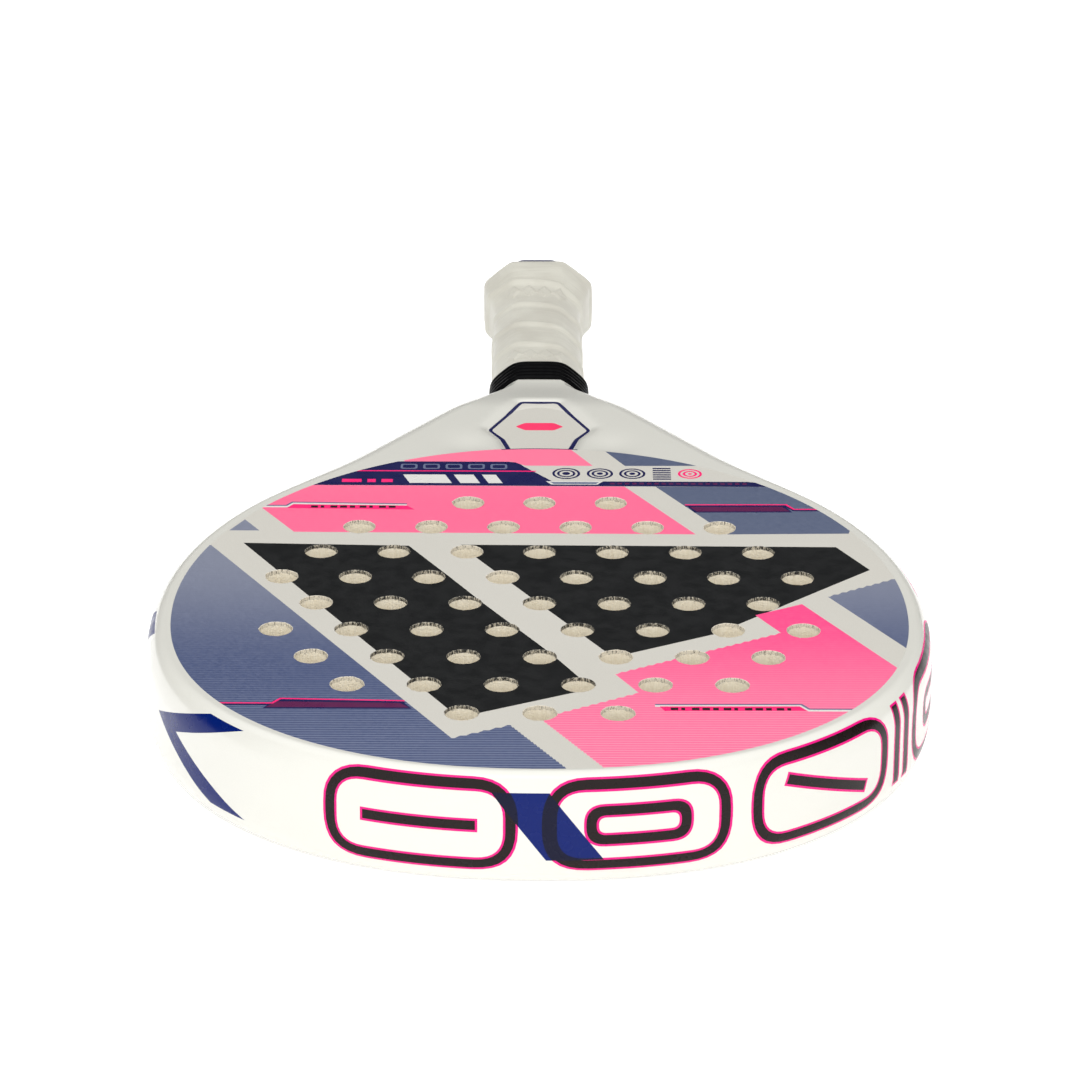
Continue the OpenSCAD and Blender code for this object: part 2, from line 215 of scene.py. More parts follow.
def pearl(name, rough=0.24, base=PEARL, dark=PEARL_DARK, sparkle=0.14):
    """Pearl white lacquer: fine mica flakes under a clear coat."""
    m = Mat(name, rough, Coat_Weight=0.35, Coat_Roughness=0.08)
    flake = m.ramp(m.cells(0.35), 0.1, 0.75)
    cloud = m.noise(60.0, 2.0)
    tone = m.mix(m.ramp(cloud, 0.3, 0.7, 0.0, 0.25), base, dark)
    # Flake spots are tinted lighter in the base colour by sparkle: real mica flakes, with their glint
    # painted into the colour.
    m.color(m.mix(m.ramp(flake, 0.0, 1.0, sparkle, 0.0), tone, rgb(240, 238, 232)))
    m.roughness(m.ramp(m.noise(0.5, 2.0), 0.3, 0.7, rough - 0.03, rough + 0.05))
    m.bump(m.noise(0.6, 3.0), 0.05, 0.05)
    m.bump(m.noise(14.0, 2.0), 0.03, 0.12)
    return m.m


LINE_PERIOD = 1.64


def print_ink(name, top, low, line, y_top, y_low, faint, strong, rough=0.34):
    """Printed ink under satin lacquer: colour runs from y_top to y_low, both from the middle row of holes.
    Fine cross lines grow towards the tip."""
    m = Mat(name, rough, Coat_Weight=0.25, Coat_Roughness=0.14)
    y = m.axis("Y")
    tone = m.mix(m.ramp(y, ROWS_Y + y_low, ROWS_Y + y_top), low, top)
    wobble = m.math("MULTIPLY", m.noise(7.0, 3.0, (0.25, 1, 1)), 0.35)
    wave = m.math("PINGPONG", m.math("ADD", m.math("DIVIDE", y, LINE_PERIOD / 2), wobble), 1.0)
    width = m.ramp(y, ROWS_Y - 122.0, ROWS_Y - 20.0, 0.70, 0.88)
    mask = m.ramp(wave, width, m.math("ADD", width, 0.12))
    share = m.ramp(y, ROWS_Y - 118.0, ROWS_Y - 5.0, strong, faint)
    tone = m.mix(m.math("MULTIPLY", mask, share), tone, line)
    grain = m.noise(0.7, 3.0, (0.5, 1, 1))
    m.color(m.mix(m.ramp(grain, 0.3, 0.75, 0.0, 0.10), tone, line))
    m.roughness(m.ramp(grain, 0.3, 0.7, rough - 0.05, rough + 0.08))
    m.bump(grain, 0.05, 0.04)
    return m.m


def plain_ink(name, tone, speck, rough=0.34, amount=0.12, shine=0.4):
    """One flat printed colour with the grain of the print under it."""
    m = Mat(name, rough, Specular_IOR_Level=shine, Coat_Weight=shine * 0.3, Coat_Roughness=0.12)
    grain = m.noise(0.6, 4.0)
    m.color(m.mix(m.ramp(grain, 0.35, 0.8, 0.0, amount), tone, speck))
    m.roughness(m.ramp(m.noise(5.0, 3.0), 0.3, 0.7, rough - 0.05, rough + 0.07))
    m.bump(grain, 0.04, 0.04)
    return m.m


def foam(name, tone, dark, smear=0.0):
    """Cut closed-cell foam: open cells, drill streaks along the hole, and dust from the drilled sheet."""
    m = Mat(name, 0.9, Specular_IOR_Level=0.25)
    streak = m.noise(0.5, 4.0, (1, 1, 0.12), 0.65)
    cell_h = m.cells(0.55)
    body = m.mix(m.ramp(streak, 0.35, 0.72, 0.0, 0.45), tone, dark)
    # Cell centres are tinted darker where the bump sinks them into pits: painted shade in the pits.
    body = m.mix(m.ramp(cell_h, 0.0, 0.35, 0.35, 0.0), body, dark)
    if smear:
        z = m.axis("Z")
        depth = m.math("SUBTRACT", MID_Z, m.math("ABSOLUTE", m.math("SUBTRACT", z, MID_Z)))
        reach = m.math("MULTIPLY", m.ramp(m.noise(0.8, 4.0, (1, 1, 0.1), 0.7), 0.42, 0.75), smear)
        edge = m.math("SUBTRACT", depth, m.math("ADD", reach, SKIN_T))
        body = m.mix(m.ramp(edge, -0.25, 0.2, 0.55, 0.0), body, rgb(110, 104, 92))
    m.color(body)
    m.bump(m.math("ADD", m.math("MULTIPLY", streak, 0.8), cell_h), 0.55, 0.25)
    return m.m


def cut_edge(name, solid, fibre, share):
    """Cut edge of the laminate in a drilled hole: dark resin with pale torn fibres."""
    m = Mat(name, 0.62)
    torn = m.noise(0.42, 5.0, (1, 1, 0.25), 0.75)
    m.color(m.mix(m.ramp(torn, share - 0.05, share + 0.06), solid, fibre))
    m.bump(torn, 0.9, 0.3)
    return m.m


def tape():
    """Matte cushioned tape: fine creases round the handle, pores with painted shade in them, and a tone that
    varies at random.
    """
    m = Mat("tape_matte", 0.62, Sheen_Weight=0.25, Sheen_Roughness=0.5)
    crease = m.noise(1.1, 4.0, (0.08, 1, 0.08), 0.6)
    pore = m.cells(0.45)
    tone = m.mix(m.ramp(m.noise(14.0, 4.0), 0.3, 0.7), rgb(199, 197, 185), rgb(187, 184, 172))
    tone = m.mix(m.ramp(crease, 0.5, 0.8, 0.0, 0.4), tone, rgb(172, 168, 155))
    # Pore centres are tinted darker where the bump sinks them into pits: painted shade in the pits.
    m.color(m.mix(m.ramp(pore, 0.0, 0.3, 0.18, 0.0), tone, rgb(166, 162, 150)))
    m.roughness(m.ramp(crease, 0.3, 0.7, 0.52, 0.7))
    m.bump(crease, 0.22, 0.18)
    m.bump(pore, 0.18, 0.08)
    return m.m


def rubber():
    m = Mat("rubber_black", 0.55, Specular_IOR_Level=0.05)
    dust = m.noise(1.3, 5.0)
    m.color(m.mix(m.ramp(dust, 0.6, 0.8, 0.0, 0.3), rgb(3, 3, 4), rgb(20, 20, 20)))
    m.roughness(m.ramp(m.noise(3.0, 3.0), 0.3, 0.7, 0.36, 0.56))
    m.bump(m.noise(0.4, 3.0), 0.12, 0.08)
    return m.m


def moulded(name, tone, worn, rough=0.5, grain=0.45):
    """Moulded plastic or foam skin with a fine spark-eroded grain."""
    m = Mat(name, rough)
    g = m.cells(grain)
    m.color(m.mix(m.ramp(m.noise(6.0, 4.0), 0.45, 0.75, 0.0, 0.5), tone, worn))
    m.roughness(m.ramp(g, 0.0, 0.6, rough + 0.1, rough - 0.06))
    m.bump(g, 0.25, 0.1)
    return m.m


def wire():
    m = Mat("wire_steel", 0.32, Metallic=1.0)
    scratch = m.noise(0.3, 3.0, (0.1, 1, 1))
    m.color(m.mix(scratch, rgb(180, 182, 186), rgb(140, 142, 146)))
    m.roughness(m.ramp(scratch, 0.3, 0.7, 0.22, 0.42))
    m.bump(scratch, 0.2, 0.03)
    return m.m


M = {
    # The rim's pearl is set lighter than the face's pearl: painted light standing in for the brighter light
    # on the rim and arms.
    "pearl": pearl("pearl_rim", 0.22, rgb(216, 215, 207), rgb(210, 209, 201), 0.07),
    "base": pearl("pearl_face", 0.36),
    "blue": print_ink("ink_slate", rgb(129, 134, 152), rgb(72, 84, 120), rgb(166, 173, 195),
                      38, -55, 0.10, 0.55),
    "blue_far": print_ink("ink_slate_deep", rgb(84, 94, 120), rgb(89, 99, 124), rgb(150, 156, 175),
                          120, 60, 0.10, 0.12),
    "pink": print_ink("ink_pink", rgb(255, 72, 138), rgb(255, 112, 155), rgb(255, 176, 196),
                      -5, -75, 0.08, 0.85),
    "pink_far": print_ink("ink_rose", rgb(255, 121, 156), rgb(255, 108, 150), rgb(255, 170, 190),
                          120, 80, 0.12, 0.12),
    "black": plain_ink("ink_black", rgb(11, 13, 14), rgb(24, 25, 26), 0.42),
    "navy": plain_ink("ink_navy", rgb(27, 29, 78), rgb(40, 44, 96), 0.3),
    "magenta": plain_ink("ink_magenta", rgb(250, 38, 118), rgb(255, 90, 150), 0.3),
    "wine": plain_ink("ink_wine", rgb(92, 32, 76), rgb(122, 46, 92), 0.3),
    "pale_blue": plain_ink("ink_pale_slate", rgb(104, 112, 140), rgb(130, 138, 160), 0.34),
    "white": plain_ink("ink_white", rgb(222, 221, 216), rgb(205, 203, 196), 0.3),
    "royal": plain_ink("ink_royal", rgb(0, 24, 96), rgb(6, 36, 112), 0.26, 0.12, 0.16),
    "royal_dark": plain_ink("ink_royal_dark", rgb(8, 10, 38), rgb(14, 18, 54), 0.26, 0.12, 0.16),
    "stroke": plain_ink("ink_stroke", rgb(26, 17, 17), rgb(40, 28, 28), 0.26, 0.12, 0.16),
    "neon": plain_ink("ink_neon", rgb(222, 14, 122), rgb(236, 40, 140), 0.26, 0.12, 0.2),
    "coral": plain_ink("ink_coral", rgb(250, 60, 108), rgb(255, 96, 136), 0.34, 0.06),
    "edge_dark": cut_edge("cut_sheet_dark", rgb(32, 32, 31), rgb(206, 198, 180), 0.52),
    "edge_pale": cut_edge("cut_sheet_pale", rgb(96, 90, 80), rgb(228, 220, 203), 0.42),
    "foam": foam("foam_cream", rgb(250, 243, 226), rgb(230, 219, 194), smear=0.6),
    "foam_plain": foam("foam_heart", rgb(232, 224, 202), rgb(204, 192, 166)),
    "tape": tape(),
    "rubber": rubber(),
    "cap": moulded("plastic_navy", rgb(24, 30, 78), rgb(38, 45, 96), 0.42),
    "dark_foam": foam("foam_charcoal", rgb(44, 44, 46), rgb(22, 22, 24)),
    "pallet": moulded("foam_rigid_amber", rgb(196, 168, 102), rgb(170, 142, 82), 0.68, 0.8),
    "vinyl": moulded("vinyl_navy", rgb(32, 36, 84), rgb(48, 52, 104), 0.36, 1.2),
    "laminate": moulded("laminate_bare", rgb(48, 48, 52), rgb(70, 70, 74), 0.5, 0.9),
    "wire": wire(),
}


# ---- mesh helpers ----
def make_object(name, verts, faces, mats, index=None, normals=None, smooth=32.0):
    """A piece from points in millimetres. normals, if given, hold one direction for each face corner."""
    me = bpy.data.meshes.new(name)
    me.from_pydata((np.asarray(verts, float) * MM).tolist(), [], [list(map(int, f)) for f in faces])
    for m in mats:
        me.materials.append(M[m])
    if index is not None:
        me.polygons.foreach_set("material_index", np.asarray(index, np.int32))
    me.polygons.foreach_set("use_smooth", np.ones(len(me.polygons), bool))
    if normals is None:
        me.set_sharp_from_angle(angle=math.radians(smooth))
    else:
        me.normals_split_custom_set([tuple(n) for n in normals])
    me.update()
    ob = bpy.data.objects.new(name, me)
    bpy.context.scene.collection.objects.link(ob)
    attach(ob, "root")
    return ob


def inside(poly, pts):
    """Which of pts lie inside the closed polygon."""
    poly, pts = np.asarray(poly, float), np.asarray(pts, float)
    x, y = pts[:, 0], pts[:, 1]
    hit = np.zeros(len(pts), bool)
    for (x0, y0), (x1, y1) in zip(poly, np.roll(poly, -1, 0)):
        if y0 == y1:
            continue
        span = (y0 > y) != (y1 > y)
        hit ^= span & (x < (x1 - x0) * (y - y0) / (y1 - y0) + x0)
    return hit


def densify(poly, step):
    """The same closed outline with no edge longer than step."""
    poly = np.asarray(poly, float)
    out = []
    for a, b in zip(poly, np.roll(poly, -1, 0)):
        n = max(1, int(math.ceil(np.linalg.norm(b - a) / step)))
        out += [a + (b - a) * i / n for i in range(n)]
    return np.array(out)


def triangulate(loops, extra=()):
    """Constrained Delaunay triangles of closed loops and loose points: points, triangles, centres."""
    pts, edges = [], []
    for loop in loops:
        k = len(pts)
        pts += [Vector((float(p[0]), float(p[1]))) for p in loop]
        edges += [(k + i, k + (i + 1) % len(loop)) for i in range(len(loop))]
    pts += [Vector((float(p[0]), float(p[1]))) for p in extra]
    v, _, f, *_ = delaunay_2d_cdt(pts, edges, [], 0, 1e-4)
    v = np.array([(p.x, p.y) for p in v])
    f = np.array([t for t in f], int)
    return v, f, v[f].mean(1)


def compact(v, f):
    """Drops unused points."""
    used = np.unique(f)
    back = np.full(len(v), -1)
    back[used] = np.arange(len(used))
    return v[used], back[f]


def border(f):
    """Edges of a triangle mesh that belong to one triangle only, in the order of that triangle."""
    e = np.concatenate([f[:, [0, 1]], f[:, [1, 2]], f[:, [2, 0]]])
    key = np.sort(e, 1)
    _, first, count = np.unique(key, axis=0, return_index=True, return_counts=True)
    return e[first[count == 1]]


def border_out(v, edges):
    """Outward unit direction in the plane at each border point, from its two edges."""
    d = v[edges[:, 1]] - v[edges[:, 0]]
    n = np.stack([d[:, 1], -d[:, 0]], 1)
    n /= np.linalg.norm(n, axis=1)[:, None] + 1e-12
    out = np.zeros_like(v)
    np.add.at(out, edges[:, 0], n)
    np.add.at(out, edges[:, 1], n)
    return out / (np.linalg.norm(out, axis=1)[:, None] + 1e-12)


# ---- outlines ----
def egg(inset):
    """Outline of the face, made smaller all round by inset."""
    a, low, high = FACE_A - inset, FACE_TIP_L - inset, FACE_FAR_L - inset
    t = np.linspace(-np.pi, np.pi, 360, endpoint=False)
    c, s = np.cos(t), np.sin(t)
    e = np.where(s < 0, 2 / TIP_POWER, 1.0)
    x = a * np.sign(c) * np.abs(c) ** e
    y = np.where(s < 0, low, high) * np.sign(s) * np.abs(s) ** e
    return np.stack([x, WIDE_Y + y], 1)


def heart(grow):
    """Outline of the heart recess, made larger all round by grow; its foot runs under the face."""
    foot_y = FACE_FAR_Y - 12.0
    half = [(HEART_TOP_W + grow / 2, HEART_TOP_Y + grow), (HEART_W + 0.5 + grow, HEART_CORNER_Y),
            (HEART_W - 3.9 + grow, HEART_CORNER_Y - 8.4), (HEART_FOOT_W + 0.4 + grow, FACE_FAR_Y - 1),
            (HEART_FOOT_W + 0.4 + grow, foot_y)]
    pts = half + [(-x, y) for x, y in reversed(half)]
    return round_corners(pts, 1.6)


def round_corners(pts, r, n=5):
    """Replaces each corner by a small arc."""
    pts = [np.asarray(p, float) for p in pts]
    out = []
    for i, p in enumerate(pts):
        a, b = pts[i - 1], pts[(i + 1) % len(pts)]
        k = min(r, np.linalg.norm(a - p) * 0.45, np.linalg.norm(b - p) * 0.45)
        s, e = p + (a - p) / np.linalg.norm(a - p) * k, p + (b - p) / np.linalg.norm(b - p) * k
        for t in np.linspace(0, 1, n):
            out.append((1 - t) ** 2 * s + 2 * t * (1 - t) * p + t ** 2 * e)
    return np.array(out)


def outline_half():
    """Dense right half of the outer outline from the tip to the neck: points and outward directions."""
    t = np.linspace(np.pi / 2, 0, 1600)
    x = HEAD_A * np.cos(t).clip(0) ** (2 / TIP_POWER)
    y = TIP_L * np.sin(t).clip(0) ** (2 / TIP_POWER)
    low = np.stack([x, WIDE_Y - y], 1)
    dy = NECK_Y - WIDE_Y
    reach = math.hypot(NECK_W / 2 / HEAD_A, dy / SHOULDER_L)
    tt = math.atan2(dy / SHOULDER_L, NECK_W / 2 / HEAD_A) - math.acos(1 / reach)
    t = np.linspace(0, tt, 600)[1:]
    high = np.stack([HEAD_A * np.cos(t), WIDE_Y + SHOULDER_L * np.sin(t)], 1)
    f = np.linspace(0, 1, 300)[1:, None]
    arm = high[-1] + f * (np.array([NECK_W / 2, NECK_Y]) - high[-1])
    end = np.array([[NECK_W / 2, NECK_Y + k] for k in np.linspace(0.2, COLLAR_L / 3, 20)])
    pts = np.concatenate([low, high, arm, end])
    return pts, high[-1]


_pts, TANGENT = outline_half()
_len = np.concatenate([[0], np.cumsum(np.linalg.norm(np.diff(_pts, axis=0), axis=1))])
_s = np.arange(0.0, _len[-1], 0.5)
_xy = np.stack([np.interp(_s, _len, _pts[:, k]) for k in (0, 1)], 1)
_tan = np.gradient(_xy, axis=0)
_nrm = np.stack([_tan[:, 1], -_tan[:, 0]], 1)
_nrm[0] = (0, -1)
_full = np.concatenate([_nrm[:0:-1] * [-1, 1], _nrm])
_kernel = np.hanning(17) / np.hanning(17).sum()
_full = np.stack([np.convolve(np.pad(_full[:, k], 8, mode="edge"), _kernel, "valid") for k in (0, 1)], 1)
_nrm = _full[len(_s) - 1:]
_nrm /= np.linalg.norm(_nrm, axis=1)[:, None]
S_END = _s[-1]


def half_t(y):
    f = ease((y - DECLINE_Y) / (NECK_Y - DECLINE_Y))
    return HEAD_T / 2 + f * (NECK_T - HEAD_T) / 2


_ang = np.linspace(0, np.pi / 2, 200)
_arc = np.concatenate([[0], np.cumsum(np.hypot(np.diff(RIM_R * (1 - np.cos(_ang))),
                                               np.diff(RIM_H * np.sin(_ang))))])
WALL_Q = HEAD_T / 2 - RIM_H
EDGE_Q = WALL_Q + _arc[-1]


def rim(s, q):
    """Point of the rim: s runs along the outline from the tip (right is positive), q round its section."""
    s, q = np.asarray(s, float), np.asarray(q, float)
    side = np.where(s < 0, -1.0, 1.0)
    k = np.abs(s)
    x, y = (np.interp(k, _s, _xy[:, j]) for j in (0, 1))
    nx, ny = (np.interp(k, _s, _nrm[:, j]) for j in (0, 1))
    a = np.interp(np.abs(q) - WALL_Q, _arc, _ang)
    arm = ease((y - TANGENT[1]) / ARM_BLEND)
    cut = 0.8 * ease((y - NECK_Y + NECK_BLEND) / NECK_BLEND)
    w, h = RIM_R + arm * (ARM_R - RIM_R), RIM_H + arm * (ARM_H - RIM_H)
    f = a / (np.pi / 2)
    u = (1 - cut) * w * (1 - np.cos(a)) + cut * NECK_W * CORNER_SHARE * f
    v = (1 - cut) * h * (1 - np.sin(a)) + cut * NECK_T * CORNER_SHARE * (1 - f)
    px, py = x - nx * u, y - ny * u
    t = half_t(py)
    wall = np.clip(np.abs(q) / WALL_Q, 0, 1)
    z = np.where(np.abs(q) < WALL_Q, wall * (t - v), t - v)
    return np.stack([side * px, py, MID_Z + np.sign(q) * z], -1)


def rim_normal(s, q):
    d = 0.3
    lo, hi = np.clip(q - d, -EDGE_Q, EDGE_Q), np.clip(q + d, -EDGE_Q, EDGE_Q)
    n = np.cross(rim(s + d, q) - rim(s - d, q), rim(s, hi) - rim(s, lo))
    flat = np.abs(q) > EDGE_Q - 0.02
    n /= np.linalg.norm(n, axis=-1)[..., None] + 1e-12
    p = rim(s, q)
    n[flat] = top_normal(p[flat], np.sign(q[flat]))
    return n


def outline_dist(poly, p):
    """Distance of each point from a closed outline."""
    best = np.full(len(p), 99.0)
    for a, b in zip(poly, np.roll(poly, -1, 0)):
        e = b - a
        t = np.clip(((p - a) @ e) / (e @ e + 1e-12), 0, 1)
        best = np.minimum(best, np.linalg.norm(a + t[:, None] * e - p, axis=1))
    return best


def heart_dist(x, y):
    """Distance outside the heart, for points near it."""
    x, y = np.asarray(x, float), np.asarray(y, float)
    d = np.full(x.shape, 99.0)
    near = (np.abs(x) < HEART_W + 9) & (y > FACE_FAR_Y - 9) & (y < HEART_TOP_Y + 9)
    p = np.stack([x[near], y[near]], 1)
    if not len(p):
        return d
    poly = heart(0.0)
    d[near] = np.where(inside(poly, p), 0.0, outline_dist(poly, p))
    return d


ROLL_R, ROLL_D = 4.4, HEAD_T - PANEL_HI[2] - 0.08
# two shallow hollows beside the foot of the heart
HOLLOW_X, HOLLOW_Y, HOLLOW_R, HOLLOW_D = 25.0, FACE_FAR_Y + 1.5, (7.5, 9.0), 0.9


def top_height(x, y):
    """Height of the plateau above the middle plane."""
    d = np.exp(-((np.abs(x) - HOLLOW_X) / HOLLOW_R[0]) ** 2 - ((y - HOLLOW_Y) / HOLLOW_R[1]) ** 2)
    roll = ROLL_D * np.clip(1 - heart_dist(x, y) / ROLL_R, 0, 1) ** 2
    return half_t(y) - HOLLOW_D * d * ease((y - FACE_FAR_Y + 14) / 8) - roll * half_t(y) / (HEAD_T / 2)


def top_normal(p, up):
    d = 0.2
    gx = (top_height(p[:, 0] + d, p[:, 1]) - top_height(p[:, 0] - d, p[:, 1])) / (2 * d)
    gy = (top_height(p[:, 0], p[:, 1] + d) - top_height(p[:, 0], p[:, 1] - d)) / (2 * d)
    n = np.stack([-gx, -gy, np.ones(len(p))], 1)
    n /= np.linalg.norm(n, axis=1)[:, None]
    n[:, 2] *= np.asarray(up)
    return n


# ---- print on the rim ----
ROW_HI, ROW_MID, ROW_LOW = 16.0, 2.2, -11.2
CORE_HALF, NEON_W = 1.6, 0.75


def bar(p, q, half, cap):
    p, q = np.array(p, float), np.array(q, float)
    d = (q - p) / np.linalg.norm(q - p)
    n = np.array([-d[1], d[0]])
    p, q = p - d * cap, q + d * cap
    return [p + n * half, q + n * half, q - n * half, p - n * half]


def loop_rect(s0, s1, half, r=9.0, rows=(ROW_LOW, ROW_HI)):
    """Outer and inner outline of a rounded loop whose middle line runs through two rows."""
    out = []
    low, high = rows
    for k in (half, -half):
        rect = [(s0 - k, low - k), (s1 + k, low - k), (s1 + k, high + k), (s0 - k, high + k)]
        out.append(round_corners(rect, (r + k) * 1.3, 9))
    return out


def rim_motif():
    """Generic track pattern for the core and the neon edge: each loop or bar is (outer, inner or None)."""
    marks = []
    for half, cap in ((CORE_HALF, 0.0), (CORE_HALF + NEON_W, NEON_W)):
        group = []
        for s0, s1, inner in ((-67, -9, 0), (3, 59, 1), (70, 126, 0), (149, 205, 1), (214, 270, 0)):
            group.append(loop_rect(s0, s1, half))
            if inner:
                group.append(loop_rect(s0 + 13, s1 - 13, half, 5.0, (ROW_MID - 4.8, ROW_MID + 5.2)))
        for a, b in (((-56, ROW_MID), (-20, ROW_MID)), ((81, ROW_HI - 7), (115, ROW_LOW + 7)),
                     ((225, ROW_MID), (259, ROW_MID)),
                     ((134.5, ROW_LOW), (134.5, ROW_HI)), ((141.5, ROW_LOW), (141.5, ROW_HI))):
            group.append((bar(a, b, half, cap), None))
        marks.append(group)
    return marks


RIM_BLUE = [
    [(-15, 13.5), (3, 13.5), (20, -9.5), (2, -9.5)],
    [(-156, 4.0), (-120, 18.0), (-103, 18.0), (-139, 4.0), (-101, -12.5), (-118, -12.5)],
    [(-186, 18.0), (-204, 18.0), (-236, -12.5), (-218, -12.5)],
]


def build_frame():
    """Rim, arms, throat and neck in one closed shell with its print."""
    cores, neons = rim_motif()
    loops = [densify(p, 1.4) for p in RIM_BLUE]
    for outer, inner in cores + neons:
        loops.append(densify(outer, 1.4))
        if inner is not None:
            loops.append(densify(inner, 1.4))
    s_grid = np.linspace(-S_END, S_END, 2 * int(S_END / 2.0) + 1)
    q_grid = np.concatenate([-EDGE_Q + (EDGE_Q - WALL_Q) * np.linspace(0, 1, 13),
                             np.linspace(-WALL_Q, WALL_Q, 7)[1:-1],
                             WALL_Q + (EDGE_Q - WALL_Q) * np.linspace(0, 1, 13)])
    gs, gq = np.meshgrid(s_grid, q_grid, indexing="ij")
    grid = np.stack([gs.ravel(), gq.ravel()], 1)
    v, f, c = triangulate(loops, grid)
    index = np.zeros(len(f), int)
    blue = np.zeros(len(f), bool)
    for p in RIM_BLUE:
        blue |= inside(p, c)

    def hit(group):
        m = np.zeros(len(f), bool)
        for outer, inner in group:
            m |= inside(outer, c) & (~inside(inner, c) if inner is not None else True)
        return m
    core, neon = hit(cores), hit(neons)
    index[blue] = 1
    index[neon & ~core] = 3
    index[core] = 2
    index[blue & (core | neon)] = 4
    strip, strip_n = rim(v[:, 0], v[:, 1]), rim_normal(v[:, 0], v[:, 1])

    # plateau between the rim's corner and the face, front and back
    edge = grid[np.isclose(grid[:, 1], EDGE_Q)]
    ring = rim(edge[:, 0], edge[:, 1])[:, :2]
    face, hrt = egg(0.0), heart(0.0)
    rolls = [densify(heart(g), 1.5) for g in (0.6, 1.3, 2.1, 3.0, 4.0)]
    gx, gy = np.meshgrid(np.arange(-96, 96.1, 2.4), np.arange(-10, NECK_Y + 4, 2.4))
    near = np.stack([gx.ravel(), gy.ravel()], 1)
    near = near[inside(ring, near) & ~inside(egg(-1.2), near) & ~inside(heart(4.8), near)]
    pv, pf, pc = triangulate([ring, densify(face, 3.0), densify(hrt, 1.5)] + rolls, near)
    keep = inside(ring, pc) & ~inside(face, pc) & ~inside(hrt, pc)
    pf, pc = pf[keep], pc[keep]
    pv, pf = compact(pv, pf)
    edges = border(pf)
    outward = border_out(pv, edges)
    faces, index_all, verts = [list(t) for t in f], list(index), [strip]
    normals = [strip_n[i] for t in f for i in t]
    inner = edges[outline_dist(ring, pv[edges].mean(1)) >= 1e-3]
    base = len(strip)
    # side walls of the rebate: rows of (depth below the plateau, step outward); the last is the middle plane
    lip = np.full(len(pv), 0.12)
    on_face = inside(egg(-0.05), pv) & ~inside(heart(-0.2), pv)
    ledge = 6.0 * np.where(on_face, 1.0, 0.02)
    wall_rows = [(0.12, lip), (SKIN_T, lip), (SKIN_T, ledge), (None, ledge)]
    for up in (1, -1):
        top = np.column_stack([pv, MID_Z + up * top_height(pv[:, 0], pv[:, 1])])
        tn = top_normal(top, up)
        verts.append(top)
        first = base
        base += len(top)
        for t in pf:
            t = t if up > 0 else t[::-1]
            faces.append([first + i for i in t])
            index_all.append(0)
            normals += [tn[i] for i in t]
        rows = [first + np.arange(len(top))]
        for depth, push in wall_rows:
            z = np.full(len(pv), MID_Z) if depth is None else top[:, 2] - up * depth
            verts.append(np.column_stack([pv + outward * push[:, None], z]))
            rows.append(base + np.arange(len(top)))
            base += len(top)
        for upper, lower in zip(rows, rows[1:]):
            for a, b in inner:
                q = [upper[b], upper[a], lower[a], lower[b]]
                faces.append(q if up > 0 else q[::-1])
                index_all.append(0)
                normals += [None] * 4
    verts = np.concatenate(verts)
    for fc, at in zip(faces, np.cumsum([0] + [len(x) for x in faces])):
        if normals[at] is None:
            p = verts[fc]
            n = np.cross(p[2] - p[0], p[3] - p[1])
            normals[at:at + 4] = [n / (np.linalg.norm(n) + 1e-12)] * 4
    verts, faces, index_all, normals = weld(verts, faces, index_all, normals)
    names = ["pearl", "royal", "stroke", "neon", "royal_dark"]
    ob = make_object("frame_shell", verts, faces, names, index_all, normals)
    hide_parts("frame_tube")


def weld(verts, faces, index, normals):
    """Joins points that lie in one place and drops the faces that this closes up."""
    _, first, back = np.unique(np.round(verts, 3), axis=0, return_index=True, return_inverse=True)
    back = back.ravel()
    out_f, out_i, out_n, at = [], [], [], 0
    for fc, ix in zip(faces, index):
        new, kept = [], []
        for k, i in enumerate(fc):
            j = back[i]
            if j not in new:
                new.append(j)
                kept.append(normals[at + k])
        at += len(fc)
        if len(new) > 2:
            out_f.append(new)
            out_i.append(ix)
            out_n += kept
    return verts[first], out_f, out_i, out_n


build_frame()

# ---- print on the face ----
ART = PITCH_X / 25.0  # the artwork is drawn on a grid where neighbouring holes are 25 apart


def art(*pts):
    return [(x * ART, ROWS_Y + y * ART) for x, y in pts]


def rect(x0, y0, x1, y1):
    return [(x0, y0), (x1, y0), (x1, y1), (x0, y1)]


def steps(a, b):
    """A slanted edge broken into the small steps of the printed lines."""
    (x0, y0), (x1, y1) = a, b
    n = max(2, int(abs(y1 - y0) / (LINE_PERIOD / ART)))
    out = []
    for i in range(n):
        t0, t1 = i / n, (i + 1) / n
        xa, xb, xm = (x0 + (x1 - x0) * t for t in (t0, t1, (t0 + t1) / 2))
        out += [((xa + xm) / 2, y0 + (y1 - y0) * t0), ((xb + xm) / 2, y0 + (y1 - y0) * t1)]
    return out


